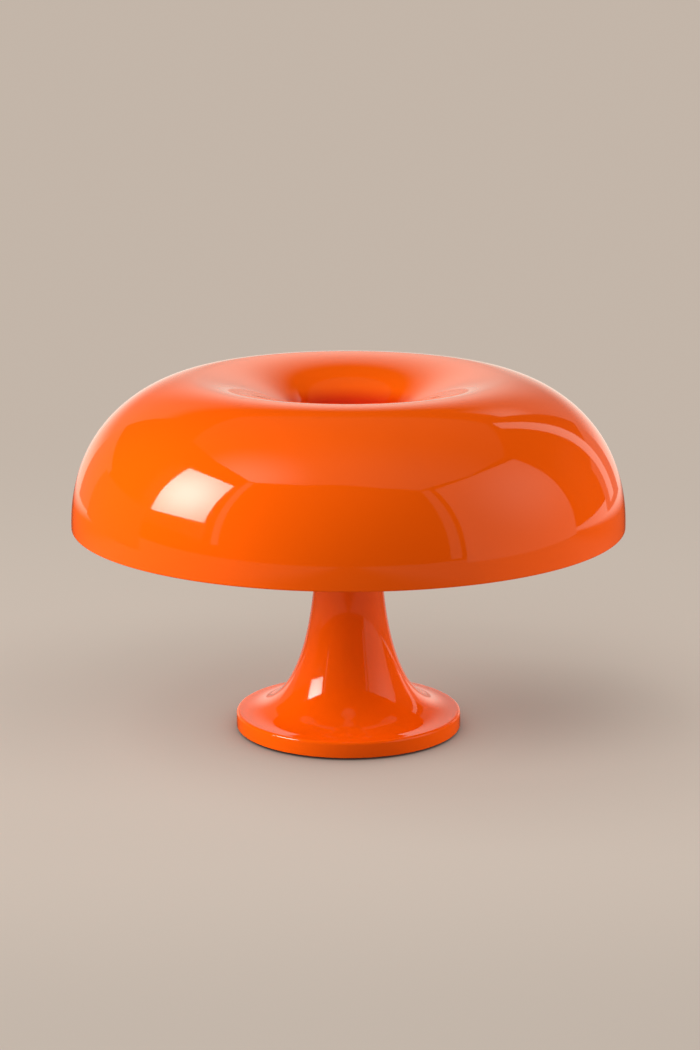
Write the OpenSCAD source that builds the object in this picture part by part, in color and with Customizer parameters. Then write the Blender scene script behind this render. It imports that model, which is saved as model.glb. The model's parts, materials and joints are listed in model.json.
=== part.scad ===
// Table lamp with a ring-shaped shade, a trumpet stem and a disc foot.
// Z is up, the table is at z = 0 and the lamp's axis is x = y = 0. The back of the lamp is +Y.

/* [Shade] */
// Outer diameter of the shade
shade_d = 320; // [312:1:330]
// Height of the crest above the table
crest_z = 208.9; // [206:0.1:213]
// Diameter of the crest circle
crest_d = 177.2; // [168:0.2:186]
// Height of the lower rim above the table
rim_z = 123.6; // [121:0.1:125]
// Height of the upright band above the rim's rounding
rim_band = 0.4; // [0.2:0.1:3]
// Radius of the rim's two edges
rim_round = 0.8; // [0.4:0.1:0.9]
// Wall thickness of the shade
shade_wall = 3; // [2.4:0.1:3.4]
// How far the shoulder's curve keeps upright
shoulder_up = 63.1; // [58:0.1:68]
// How far the shoulder's curve keeps level outside the crest
shoulder_level = 18.8; // [14:0.1:24]
// How far the well's curve keeps level inside the crest
well_level = 14.2; // [10:0.1:20]
// How far the well's curve keeps upright above the throat
well_up = 30.1; // [26:0.1:34]
// Inner diameter of the well's throat
throat_d = 40; // [39:0.5:44]
// Thickness of the throat's floor
throat_floor = 3; // [2:0.1:4]
// Radius between the throat and its floor
throat_fillet = 2; // [1:0.1:3]

/* [Stem and foot] */
// Diameter of the disc foot
foot_d = 132; // [130:0.5:140]
// Height of the foot's upper face above the table
foot_top_z = 10.8; // [10.6:0.1:12]
// Height of the foot's lower edge above the table
foot_edge_z = 1.4; // [1.2:0.1:1.6]
// Radius of the foot's upper edge
foot_round = 1.8; // [1:0.1:1.9]
// Radius of the foot's lower edge
foot_edge_round = 0.4; // [0.2:0.1:0.6]
// Diameter at which the flare meets the foot
flare_d = 124.8; // [122:0.2:126]
// How far the flare's curve keeps level
flare_level = 42.4; // [38:0.1:43]
// How far the neck's curve keeps upright
neck_up = 40.5; // [34:0.1:50]
// Diameter at the top of the stem
neck_d = 37.2; // [36.4:0.2:40]
// Height of the top of the stem above the table
neck_z = 134; // [133:0.1:136]
// Wall thickness of the stem and foot
body_wall = 3; // [2.6:0.1:3.1]

/* [Foot parts] */
// Thickness of the foot pad
pad_t = 1.8; // [1.7:0.1:2]
// Outer diameter of the foot pad
pad_d = 116; // [110:0.5:122]
// Width of the foot pad's ring
pad_w = 8; // [6:0.5:9]
// Thickness of the base cover
cover_t = 1.5; // [1.2:0.1:1.6]
// Diameter of the iron cone at its lower end
cone_d = 78; // [70:0.5:80]
// Diameter of the iron cone at its upper end
cone_top_d = 58; // [50:0.5:60]
// Height of the top of the iron cone above the table
cone_top_z = 26; // [23:0.1:28]
// Width of the pocket in the iron for the terminal block
pocket_w = 22; // [20:0.5:24]
// Distance of that pocket from the lamp's axis
pocket_y = 13; // [11:0.5:14]
// Number of screws in the base cover
cover_screw_count = 3; // [2:1:3]
// Distance of these screws from the lamp's axis
cover_screw_r = 44; // [43.6:0.1:45]
// Thread diameter of these screws
cover_screw_d = 3; // [2.5:0.1:3.2]
// Length of these screws under the head
cover_screw_l = 8; // [6:0.5:9]
// Diameter of the screw bosses
boss_d = 6.4; // [6:0.1:7]

/* [Cord inlet] */
// Bore for the cord
inlet_bore_d = 5.2; // [4.6:0.1:5.4]
// Height of the bore's axis above the table
inlet_z = 5.2; // [5:0.1:5.3]
// Diameter of the bush in the foot's wall
bush_d = 7.2; // [6.8:0.1:7.4]
// Diameter of the bush's flange
bush_flange_d = 8.6; // [8.4:0.1:9]
// Thickness of the bush's flange
bush_flange_t = 1.2; // [1:0.1:1.6]

/* [Terminal block] */
// Width of the terminal block
block_w = 18; // [17:0.5:19]
// Depth of the terminal block
block_l = 13; // [12:0.5:14]
// Height of the terminal block
block_h = 8; // [7:0.1:8.4]
// Distance of the block's front from the lamp's axis
block_y = 24; // [23.5:0.1:24.5]
// Distance between its two brass barrels
barrel_pitch = 9; // [8.4:0.1:10]
// Diameter of a brass barrel
barrel_d = 4.4; // [4:0.1:4.6]
// Bore of a brass barrel
barrel_bore_d = 2.6; // [2.4:0.1:2.8]
// Thread diameter of the terminal screws
terminal_screw_d = 2.5; // [2:0.1:2.8]

/* [Centre tube] */
// Outer diameter of the threaded tube
tube_d = 10; // [9.6:0.1:10.4]
// Bore of the threaded tube
tube_bore_d = 7.2; // [6:0.1:7.6]
// Width across the flats of the tube's nuts
nut_af = 14; // [13:0.1:14.4]
// Height of the tube's nuts
nut_h = 3.5; // [3:0.1:3.8]
// Diameter of the washer under the iron
tube_washer_d = 19; // [17:0.5:20]
// Thickness of that washer
tube_washer_t = 1; // [0.8:0.1:1.4]

/* [Hub] */
// Width of the square hub
hub_w = 46; // [45:0.5:47]
// Height of the hub
hub_h = 24; // [23.4:0.1:25]
// Wall thickness of the hub
hub_wall = 2.4; // [2:0.1:2.4]
// Corner radius of the hub
hub_round = 6; // [4:0.5:8]
// Thickness of the plate under the hub
hub_base_t = 1.6; // [1.2:0.1:2]
// Outer diameter of the soft ring under the shade
seat_d = 38; // [34:0.5:40]
// Inner diameter of that ring
seat_bore_d = 20; // [18:0.5:24]
// Height of that ring
seat_h = 4; // [3.9:0.1:5]

/* [Shade fixing] */
// Diameter of the washer on the throat's floor
shade_washer_d = 24; // [22:0.5:28]
// Thickness of that washer
shade_washer_t = 1.4; // [1:0.1:2]
// Diameter of the knob
knob_d = 24; // [22:0.5:26]
// Height of the knob
knob_h = 17; // [15:0.5:18]
// Height of the knob's dome
knob_dome = 2.4; // [1.5:0.1:3]
// Radius of the knob's upper edge
knob_round = 1.6; // [1:0.1:2]
// Number of grip flutes on the knob
flute_count = 16; // [12:1:18]
// Diameter of a flute
flute_d = 3; // [2.4:0.1:3.4]
// Outer diameter of the brass insert in the knob
insert_d = 15; // [14:0.5:16]
// Height of the brass insert
insert_h = 11; // [9:0.5:12]

/* [Lampholders] */
// Outer diameter of a lampholder
holder_d = 22.4; // [22:0.1:22.6]
// Length of a lampholder from the hub
holder_l = 30; // [29:0.1:31]
// Thickness of a lampholder's bottom
holder_floor = 5; // [4.4:0.1:5.2]
// Diameter of the neck that snaps into the hub
spigot_d = 16.8; // [16.4:0.1:17]
// How far its lip stands out
spigot_lip = 0.8; // [0.5:0.1:0.9]
// Thickness of the brass
brass_t = 0.5; // [0.4:0.1:0.5]
// Length of the thread shell
shell_l = 19.5; // [18:0.5:21]
// Distance of the live tab above the holder's axis
live_tab_z = 4; // [3.8:0.1:4.2]
// Distance of the neutral tab below the holder's axis
neutral_tab_z = 6; // [5.9:0.1:6.1]
// Width of the tabs
tab_w = 3; // [2.6:0.1:3.2]
// Diameter of the centre contact
contact_d = 4.8; // [4.4:0.1:5]
// Height of the centre contact above the holder's bottom
contact_h = 2; // [1.6:0.1:2.4]

/* [Bulbs] */
// Diameter of the glass globe
globe_d = 45; // [42:0.5:45.4]
// Length of a bulb
bulb_l = 78; // [76:0.5:80]
// Diameter of a bulb's cap over its thread
cap_d = 13.8; // [13.6:0.1:13.9]
// Length of a bulb from its tip to the end of its cap
cap_l = 22; // [21.8:0.1:22.4]
// Depth of the thread
thread_depth = 0.5; // [0.3:0.1:0.5]
// Pitch of the thread
thread_pitch = 2.8; // [2.6:0.1:3]
// Thickness of the glass
glass_t = 0.8; // [0.6:0.1:1]
// Diameter of the glass neck inside the cap
glass_neck_d = 12; // [11.6:0.1:12]

/* [Leads] */
// Diameter of the two leads
lead_d = 2; // [1.8:0.1:2.1]
// Radius of the leads' loops in the hub
lead_loop_r = 17; // [16.6:0.1:17]

/* [Clearances] */
// Gap round a piece that stays in its seat
fit = 0.1; // [0.05:0.01:0.12]
// Gap round a piece that moves or hangs free
free = 0.3; // [0.25:0.05:0.4]
// Radial clearance of a nut or insert on its thread
thread_gap = 0.08; // [0.05:0.01:0.1]
// Radial clearance of a bulb's cap in its shell
cap_gap = 0.2; // [0.15:0.05:0.3]

/* [Hidden] */
BULBS = [1, 2, 3, 4];
function numbered(name) = [for (i = BULBS) str(name, "_", i)];
$fn = 96;

// Colours
orange = [0.96, 0.38, 0.02];
black = [0.08, 0.08, 0.08];
steel = [0.72, 0.73, 0.75];
brass = [0.82, 0.66, 0.32];
iron = [0.25, 0.25, 0.27];
white = [0.93, 0.92, 0.88];
opal = [0.97, 0.96, 0.93];
brown = [0.35, 0.17, 0.07];
blue = [0.08, 0.25, 0.65];

// Over-length of a cutting tool
over = 1;
// Chamfer of small edges, and the slots in screw heads
edge = 0.5;
slot_w = 0.6;
slot_depth = 0.6;
// Share of a rounded corner that its curve's handles take
round_share = 0.55;

// Points on a cubic curve, a circle's arc and a path at a distance to its left
function curve_point(p, t) =
    pow(1 - t, 3) * p[0] + 3 * t * pow(1 - t, 2) * p[1] + 3 * t * t * (1 - t) * p[2] + pow(t, 3) * p[3];
function curve(p, n) = [for (i = [0:n]) curve_point(p, i / n)];
function arc(c, r, a0, a1, n) =
    [for (i = [0:n]) let (a = a0 + (a1 - a0) * i / n) [c[0] + r * cos(a), c[1] + r * sin(a)]];
function unit(v) = v / norm(v);
function side(path, i) = let (
    last = len(path) - 1,
    d = unit(path[min(i + 1, last)] - path[max(i - 1, 0)])) [-d[1], d[0]];
function beside(path, gap) = [for (i = [0:len(path) - 1]) path[i] + gap * side(path, i)];
function reverse(path) = [for (i = [len(path) - 1:-1:0]) path[i]];
function tail(path) = [for (i = [1:len(path) - 1]) path[i]];
function rounded_square(w, r) = [
    for (k = [0:3]) let (c = (w / 2 - r) * [k == 0 || k == 3 ? 1 : -1, k < 2 ? 1 : -1])
        each arc(c, r, 90 * k, 90 * k + 90, 8)];

// Heights from the table up
cover_top_z = pad_t + cover_t;
foot_under_z = foot_top_z - body_wall;
hub_z = neck_z + hub_base_t;
hub_top_z = hub_z + hub_h;
bulb_z = hub_z + hub_h / 2;
floor_z = hub_top_z + seat_h;
throat_z = floor_z + throat_floor;
knob_z = throat_z + shade_washer_t;
tube_low_z = cover_top_z + free;
tube_top_z = knob_z + insert_h - 1;
tube_nut_z = tube_low_z + 2 * free;
tube_washer_z = tube_nut_z + nut_h;
recess_z = tube_washer_z + tube_washer_t;
recess_d = tube_washer_d + 2;

// Shade outline, from the rim over the crest into the throat
shade_r = shade_d / 2;
crest_r = crest_d / 2;
throat_r = throat_d / 2;
shoulder_z = rim_z + rim_round + rim_band;
shoulder = curve([
    [shade_r, shoulder_z],
    [shade_r, shoulder_z + shoulder_up],
    [crest_r + shoulder_level, crest_z],
    [crest_r, crest_z]], 30);
well = curve([
    [crest_r, crest_z],
    [crest_r - well_level, crest_z],
    [throat_r, throat_z + well_up],
    [throat_r, throat_z + throat_fillet]], 28);
shade_under = beside(concat(shoulder, tail(well)), shade_wall);
shoulder_last = len(shoulder) - 1;
skirt_last = 6;
throat_corner = [throat_r - throat_fillet, throat_z + throat_fillet];
under_corner = let (
    a = [throat_corner[0], floor_z],
    b = [throat_r + shade_wall, throat_corner[1]])
    curve([
        a,
        [a[0] + round_share * (b[0] - a[0]), a[1]],
        [b[0], b[1] - round_share * (b[1] - a[1])],
        b], 6);
tube_hole_r = tube_d / 2 + free;

// Share of a flute's diameter that its axis lies outside the knob
flute_out = 0.32;

// Stem outline, from the foot to the neck
foot_r = foot_d / 2;
foot_in_r = foot_r - body_wall;
neck_r = neck_d / 2;
flare = curve([
    [flare_d / 2, foot_top_z],
    [flare_d / 2 - flare_level, foot_top_z],
    [neck_r, neck_z - neck_up],
    [neck_r, neck_z]], 40);
neck_under_z = neck_z - body_wall;

// Hole for the two leads in the top of the stem
lead_hole_y = 10.5;
lead_hole_d = 2 * lead_d + 4 * free;

// Upright part of the iron cone's side
cone_side_h = 4;

// Cord bush: where it starts inside the foot, and the two cheeks that hold it
bush_reach = 0.8;
bush_y = foot_in_r - bush_reach;
cheek_x = bush_d / 2 + 1.2;
cheek_w = 1.8;
cheek_t = 1.4;
cheek_y = bush_y - 1;

// Terminal block and the cover's screws
barrel_z = foot_under_z + block_h / 2;
block_mid_y = block_y + block_l / 2;
terminal_screw_y = 3;
screw_head_h = 0.8;
sink_h = 2;
pilot_d = cover_screw_d - 0.6;
screw_angles = [for (i = [0:cover_screw_count - 1]) 270 + 360 / cover_screw_count * i];

// Lampholder, along its own axis from the hub's face
hub_face = hub_w / 2;
cap_r = cap_d / 2;
shell_r = cap_r + cap_gap + brass_t + thread_depth;
holder_bore_r = shell_r + fit;
tip_u = holder_floor + contact_h + free;
tab_end_u = lead_loop_r + lead_d / 2 + free - hub_face;
spigot_wall = 1.3;
lip_u = -hub_wall - 2 * edge;
sleeve_l = 13;
waist_depth = 0.7;
collar_l = 3;
rebate_l = 4;

// Bulb, along its own axis from its tip
tip_h = 1.3;
tip_r = 2.5;
insulator_h = 3.1;
insulator_r = cap_r - 1.1;
cap_v = tip_h + insulator_h;
collar_v = cap_l - 2.6;
glass_in_cap = 8;
neck_bow = 7;
globe_r = globe_d / 2;
globe_v = bulb_l - globe_r;
neck_v = cap_l + free;
neck_glass_r = cap_r + free;
globe_a = -48;
globe_start = [globe_r * cos(globe_a), globe_v + globe_r * sin(globe_a)];
globe_dir = [-sin(globe_a), cos(globe_a)];

module turned(points) {
    rotate_extrude() polygon(points);
}

module at_bulb(i) {
    translate([0, 0, bulb_z]) rotate([0, 0, 90 * (i - 1)]) translate([hub_face, 0, 0]) rotate([0, 90, 0])
        children();
}

module hex_nut(z) {
    corner_r = nut_af / 2 + 2 * edge;
    color(steel) translate([0, 0, z]) difference() {
        intersection() {
            rotate([0, 0, 30]) cylinder(h = nut_h, d = nut_af / cos(30), $fn = 6);
            turned([[0, 0], [nut_af / 2, 0], [corner_r, edge], [corner_r, nut_h - edge],
                    [nut_af / 2, nut_h], [0, nut_h]]);
        }
        translate([0, 0, -over]) cylinder(h = nut_h + 2 * over, r = tube_d / 2 + thread_gap);
    }
}

module washer(z, d, t) {
    color(steel) translate([0, 0, z]) difference() {
        cylinder(h = t, d = d);
        translate([0, 0, -over]) cylinder(h = t + 2 * over, r = tube_hole_r);
    }
}

// A threaded band, as level ridges
function ridges(r, v0, v1) = let (n = round((v1 - v0) / thread_pitch * 6))
    [for (i = [0:n]) let (v = v0 + (v1 - v0) * i / n)
        [r + thread_depth / 2 * sin(360 * (v - v0) / thread_pitch), v]];

// Foot and stem
module body_solid() {
    turned(concat(
        [[0, foot_edge_z]],
        arc([foot_r - foot_edge_round, foot_edge_z + foot_edge_round], foot_edge_round, -90, 0, 4),
        arc([foot_r - foot_round, foot_top_z - foot_round], foot_round, 0, 90, 8),
        flare, [[0, neck_z]]));
}

module body_hollow() {
    turned(concat(
        [[0, 0], [foot_in_r, 0], [foot_in_r, foot_under_z]],
        [for (p = beside(flare, body_wall)) if (p[1] < neck_under_z) p],
        [[neck_r - body_wall, neck_under_z], [0, neck_under_z]]));
}

module at_cover_screws() {
    for (a = screw_angles) rotate([0, 0, a]) translate([cover_screw_r, 0, 0]) children();
}

module stem_body() {
    color(orange) difference() {
        union() {
            difference() {
                body_solid();
                body_hollow();
            }
            intersection() {
                at_cover_screws() translate([0, 0, cover_top_z]) cylinder(h = 2 * foot_top_z, d = boss_d);
                translate([0, 0, -body_wall / 2]) body_solid();
            }
        }
        translate([0, 0, -over]) cylinder(h = pad_t + fit + over, d = pad_d + 2 * fit);
        at_cover_screws() translate([0, 0, cover_top_z - over])
            cylinder(h = cover_screw_l - cover_t + over + free, d = pilot_d);
        translate([0, 0, neck_under_z - over]) cylinder(h = body_wall + 2 * over, r = tube_hole_r);
        translate([0, lead_hole_y, neck_under_z - over])
            cylinder(h = body_wall + 2 * over, d = lead_hole_d);
        translate([0, foot_in_r - over, inlet_z]) rotate([-90, 0, 0])
            cylinder(h = body_wall + 2 * over, d = bush_d + 2 * fit);
        translate([-bush_d / 2 - fit, foot_in_r - over, 0])
            cube([bush_d + 2 * fit, body_wall + 2 * over, inlet_z]);
    }
}

module base_cover() {
    color(black) difference() {
        translate([0, 0, pad_t]) cylinder(h = cover_t, r = foot_in_r - free);
        at_cover_screws() translate([0, 0, pad_t - over])
            cylinder(h = cover_t + 2 * over, d = cover_screw_d + 2 * fit);
        translate([-bush_d / 2 - free, bush_y - free, 0]) cube([bush_d + 2 * free, body_wall, foot_top_z]);
    }
}

module foot_pad() {
    color(black) turned([
        [pad_d / 2 - pad_w, pad_t], [pad_d / 2 - pad_w, edge], [pad_d / 2 - pad_w + edge, 0],
        [pad_d / 2 - edge, 0], [pad_d / 2, edge], [pad_d / 2, pad_t]]);
}

module cover_screws() {
    color(steel) at_cover_screws() difference() {
        union() {
            translate([0, 0, pad_t - screw_head_h]) cylinder(h = screw_head_h, d = 2 * cover_screw_d);
            translate([0, 0, pad_t]) cylinder(h = cover_t - fit, d = cover_screw_d);
            translate([0, 0, pad_t]) cylinder(h = cover_screw_l, d = pilot_d - 2 * fit);
        }
        for (a = [0, 90]) translate([0, 0, pad_t - screw_head_h]) rotate([0, 0, a])
            cube([cover_screw_d, slot_w, 2 * slot_depth], center = true);
    }
}

module ballast() {
    color(iron) difference() {
        union() {
            translate([0, 0, cover_top_z]) cylinder(h = foot_under_z - cover_top_z, r = foot_in_r - free);
            turned([[0, cover_top_z], [cone_d / 2, cover_top_z], [cone_d / 2, foot_under_z + cone_side_h],
                    [cone_top_d / 2, cone_top_z - 2 * edge], [cone_top_d / 2 - 2 * edge, cone_top_z],
                    [0, cone_top_z]]);
        }
        translate([0, 0, cover_top_z - over]) cylinder(h = recess_z - cover_top_z + over, d = recess_d);
        cylinder(h = cone_top_z + over, r = tube_hole_r);
        at_cover_screws() cylinder(h = 2 * foot_top_z, d = boss_d + 4 * free);
        translate([-pocket_w / 2, pocket_y, foot_under_z]) cube([pocket_w, foot_r, cone_top_z]);
        translate([-cheek_x - free, block_y + block_l, 0]) cube([2 * (cheek_x + free), foot_r, cone_top_z]);
        translate([0, block_mid_y, cover_top_z - over]) cylinder(h = foot_under_z, d = terminal_screw_d);
    }
}

module cord_bush() {
    cheek_z = cover_top_z + fit;
    cheek_h = foot_under_z - fit - cheek_z;
    color(black) difference() {
        union() {
            translate([0, bush_y, inlet_z]) rotate([-90, 0, 0])
                cylinder(h = foot_r + bush_flange_t - bush_y, d = bush_d);
            translate([0, foot_r, inlet_z]) rotate([-90, 0, 0])
                cylinder(h = bush_flange_t, d = bush_flange_d);
            for (s = [0, 1]) mirror([s, 0, 0]) translate([cheek_x - cheek_w, cheek_y, cheek_z])
                cube([cheek_w, cheek_t, cheek_h]);
        }
        translate([0, bush_y - over, inlet_z]) rotate([-90, 0, 0])
            cylinder(h = foot_r + bush_flange_t - bush_y + 2 * over, d = inlet_bore_d);
    }
}

module at_barrels() {
    for (s = [-1, 1]) translate([s * barrel_pitch / 2, block_mid_y, barrel_z]) children();
}

module terminal_screw_row() {
    for (s = [-1, 1]) translate([0, s * terminal_screw_y, 0]) children();
}

module terminal_block() {
    color(white) difference() {
        translate([-block_w / 2, block_y, foot_under_z]) cube([block_w, block_l, block_h]);
        at_barrels() rotate([90, 0, 0])
            cylinder(h = block_l + 2 * over, d = barrel_d + 2 * fit, center = true);
        at_barrels() terminal_screw_row() cylinder(h = block_h, d = terminal_screw_d + 2 * free);
        translate([0, block_mid_y, foot_under_z - over])
            cylinder(h = block_h + 2 * over, d = terminal_screw_d + 2 * fit);
        translate([0, block_mid_y, foot_under_z + block_h - sink_h])
            cylinder(h = block_h, d = 2 * terminal_screw_d);
    }
}

module terminal_inserts() {
    color(brass) at_barrels() difference() {
        rotate([90, 0, 0]) cylinder(h = block_l - 1, d = barrel_d, center = true);
        rotate([90, 0, 0]) cylinder(h = block_l + 2 * over, d = barrel_bore_d, center = true);
        terminal_screw_row() cylinder(h = barrel_d, r = terminal_screw_d / 2 + thread_gap);
    }
}

module terminal_screws() {
    color(steel) at_barrels() terminal_screw_row() difference() {
        translate([0, 0, lead_d / 2 + fit])
            cylinder(h = block_h / 2 - lead_d / 2 - 2 * fit, d = terminal_screw_d);
        translate([0, 0, block_h / 2 - fit])
            cube([terminal_screw_d + over, slot_w, 2 * slot_depth], center = true);
    }
}

module block_screw() {
    shank_z = cover_top_z + free;
    head_z = foot_under_z + block_h - sink_h + fit;
    head_h = sink_h - slot_depth;
    color(steel) translate([0, block_mid_y, 0]) difference() {
        union() {
            translate([0, 0, shank_z]) cylinder(h = head_z - shank_z, d = terminal_screw_d - 2 * fit);
            translate([0, 0, head_z]) cylinder(h = head_h, d = 2 * terminal_screw_d - 2 * free);
        }
        translate([0, 0, head_z + head_h])
            cube([2 * terminal_screw_d, slot_w, 2 * slot_depth], center = true);
    }
}

// Centre tube and its nuts
module center_tube() {
    color(steel) difference() {
        translate([0, 0, tube_low_z]) cylinder(h = tube_top_z - tube_low_z, d = tube_d);
        translate([0, 0, tube_low_z - over])
            cylinder(h = tube_top_z - tube_low_z + 2 * over, d = tube_bore_d);
    }
}

module tube_nut() {
    hex_nut(tube_nut_z);
}

module tube_washer() {
    washer(tube_washer_z, tube_washer_d, tube_washer_t);
}

// Hub
module hub_base() {
    color(steel) difference() {
        translate([0, 0, neck_z]) linear_extrude(hub_base_t) polygon(rounded_square(hub_w, hub_round));
        translate([0, 0, neck_z - over]) cylinder(h = hub_base_t + 2 * over, r = tube_hole_r);
        translate([0, lead_hole_y, neck_z - over]) cylinder(h = hub_base_t + 2 * over, d = lead_hole_d);
    }
}

module hub_nut() {
    hex_nut(hub_z);
}

module hub_body() {
    color(white) difference() {
        translate([0, 0, hub_z]) linear_extrude(hub_h) polygon(rounded_square(hub_w, hub_round));
        translate([0, 0, hub_z - over]) linear_extrude(hub_h - hub_wall + over)
            polygon(rounded_square(hub_w - 2 * hub_wall, hub_round - hub_wall));
        translate([0, 0, hub_top_z - hub_wall - over]) cylinder(h = hub_wall + 2 * over, r = tube_hole_r);
        for (i = BULBS) at_bulb(i) translate([0, 0, -hub_wall - over])
            cylinder(h = hub_wall + 2 * over, d = spigot_d + 2 * fit);
    }
}

module hub_top_nut() {
    hex_nut(hub_top_z);
}

module shade_seat() {
    color(black) turned([
        [seat_bore_d / 2, hub_top_z], [seat_d / 2, hub_top_z], [seat_d / 2, floor_z - edge],
        [seat_d / 2 - edge, floor_z], [seat_bore_d / 2, floor_z]]);
}

// Lampholders
module holder(i) {
    spigot_r = spigot_d / 2;
    lip_r = spigot_r + spigot_lip;
    outer_r = holder_d / 2;
    waist_r = outer_r - waist_depth;
    mouth_r = holder_bore_r + edge;
    color(white) at_bulb(i) difference() {
        turned([
            [0, 0], [spigot_r - spigot_wall, 0], [spigot_r - spigot_wall, lip_u], [lip_r - edge, lip_u],
            [lip_r, lip_u + edge], [lip_r, -hub_wall - fit], [spigot_r, -hub_wall - fit],
            [spigot_r, 0], [outer_r - edge, 0], [outer_r, edge],
            [outer_r, sleeve_l], [waist_r, sleeve_l + waist_depth],
            [waist_r, holder_l - collar_l], [waist_r + edge, holder_l - collar_l + edge],
            [waist_r + edge, holder_l - edge], [waist_r, holder_l],
            [mouth_r + edge, holder_l], [mouth_r, holder_l - edge],
            [mouth_r, holder_l - rebate_l], [holder_bore_r, holder_l - rebate_l - edge],
            [holder_bore_r, holder_floor], [0, holder_floor]]);
        for (x = [-live_tab_z, neutral_tab_z]) translate([x, 0, 0])
            cube([brass_t + 2 * free, tab_w + 2 * free, 4 * holder_floor], center = true);
    }
}

module shell(i) {
    wall_r = shell_r - thread_depth / 2;
    foot_in = neutral_tab_z - brass_t - free;
    band = ridges(wall_r, holder_floor + 2 * brass_t, holder_floor + shell_l);
    color(brass) at_bulb(i) union() {
        turned(concat(
            [[foot_in, holder_floor], [wall_r, holder_floor]],
            band,
            [for (p = reverse(band)) p - [brass_t, 0]],
            [[wall_r - brass_t, holder_floor + brass_t], [foot_in, holder_floor + brass_t]]));
        translate([neutral_tab_z - brass_t / 2, -tab_w / 2, tab_end_u])
            cube([brass_t, tab_w, holder_floor + brass_t - tab_end_u]);
    }
}

module contact(i) {
    color(brass) at_bulb(i) union() {
        translate([-live_tab_z - brass_t / 2, -tab_w / 2, tab_end_u])
            cube([brass_t, tab_w, holder_floor + brass_t - tab_end_u]);
        translate([-live_tab_z - brass_t / 2, -tab_w / 2, holder_floor])
            cube([live_tab_z + brass_t / 2, tab_w, brass_t]);
        translate([0, 0, holder_floor]) cylinder(h = contact_h, d = contact_d);
    }
}

// Bulbs
module at_bulb_tip(i) {
    at_bulb(i) translate([0, 0, tip_u]) children();
}

module bulb_glass(i) {
    neck = curve([
        [neck_glass_r, neck_v + edge],
        [neck_glass_r, neck_v + edge + neck_bow],
        globe_start - neck_bow * globe_dir,
        globe_start], 10);
    skin = concat(neck, tail(arc([0, globe_v], globe_r, globe_a, 90, 26)));
    inside = beside(skin, glass_t);
    glass_in_r = glass_neck_d / 2 - glass_t;
    color(opal) at_bulb_tip(i) turned(concat(
        [[glass_in_r, cap_l - glass_in_cap], [glass_neck_d / 2, cap_l - glass_in_cap],
         [glass_neck_d / 2, neck_v], [neck_glass_r - edge, neck_v]],
        skin,
        [for (p = reverse(inside)) if (p[1] > neck_v + glass_t + edge) [max(p[0], 0), p[1]]],
        [[glass_in_r, neck_v + free]]));
}

module bulb_cap(i) {
    thread_r = cap_r - thread_depth / 2;
    in_r = glass_neck_d / 2 + fit;
    color(brass) at_bulb_tip(i) turned(concat(
        [[0, cap_v], [thread_r - edge, cap_v], [thread_r, cap_v + edge]],
        ridges(thread_r, cap_v + 2 * edge, collar_v),
        [[thread_r, collar_v + 2 * edge], [cap_r, collar_v + 3 * edge], [cap_r, cap_l], [in_r, cap_l],
         [in_r, cap_v + edge], [0, cap_v + edge]]));
}

module bulb_insulator(i) {
    color(black) at_bulb_tip(i)
        turned([[0, tip_h], [tip_r + edge, tip_h], [insulator_r, cap_v - edge], [insulator_r, cap_v],
                [0, cap_v]]);
}

module bulb_tip(i) {
    color(steel) at_bulb_tip(i)
        turned([[0, 0], [tip_r - edge, 0], [tip_r, edge], [tip_r, tip_h], [0, tip_h]]);
}

// Shade and its fixing. The shade is a skirt, a shoulder and a well, which meet edge to edge.
module shade_skirt() {
    seam = fit * unit(shoulder[skirt_last] - shoulder[skirt_last - 1]);
    color(orange) turned(concat(
        arc([shade_r - shade_wall + rim_round, rim_z + rim_round], rim_round, 180, 270, 4),
        arc([shade_r - rim_round, rim_z + rim_round], rim_round, -90, 0, 4),
        [for (i = [0:skirt_last - 1]) shoulder[i]],
        [shoulder[skirt_last] - seam, shade_under[skirt_last] - seam],
        [for (i = [skirt_last - 1:-1:0]) shade_under[i]]));
}

module shade() {
    color(orange) turned(concat(
        [for (i = [skirt_last:shoulder_last]) shoulder[i]],
        [for (i = [shoulder_last:-1:skirt_last]) shade_under[i]]));
}

module shade_well() {
    seam_r = crest_r - fit;
    color(orange) turned(concat(
        [[seam_r, crest_z]],
        tail(well),
        tail(arc(throat_corner, throat_fillet, 0, -90, 6)),
        [[tube_hole_r, throat_z], [tube_hole_r, floor_z]],
        under_corner,
        [for (i = [len(shade_under) - 2:-1:shoulder_last + 1]) shade_under[i]],
        [[seam_r, crest_z - shade_wall]]));
}

module shade_washer() {
    washer(throat_z, shade_washer_d, shade_washer_t);
}

module shade_knob() {
    r = knob_d / 2;
    edge_r = r - knob_round;
    edge_z = knob_h - knob_dome;
    dome_r = (edge_r * edge_r + knob_dome * knob_dome) / (2 * knob_dome);
    color(orange) translate([0, 0, knob_z]) difference() {
        turned(concat(
            [[0, 0], [r - edge, 0], [r, edge]],
            arc([edge_r, edge_z - knob_round], knob_round, 0, 90, 6),
            tail(arc([0, knob_h - dome_r], dome_r, acos(edge_r / dome_r), 90, 12))));
        for (k = [0:flute_count - 1]) rotate([0, 0, 360 / flute_count * k])
            translate([r + flute_out * flute_d, 0, -over])
                cylinder(h = knob_h + 2 * over, d = flute_d, $fn = 24);
        translate([0, 0, -over]) cylinder(h = insert_h + fit + over, d = insert_d + 2 * fit);
    }
}

module knob_insert() {
    color(brass) translate([0, 0, knob_z]) difference() {
        cylinder(h = insert_h, d = insert_d);
        translate([0, 0, -over]) cylinder(h = insert_h + 2 * over, r = tube_d / 2 + thread_gap);
    }
}

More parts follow.
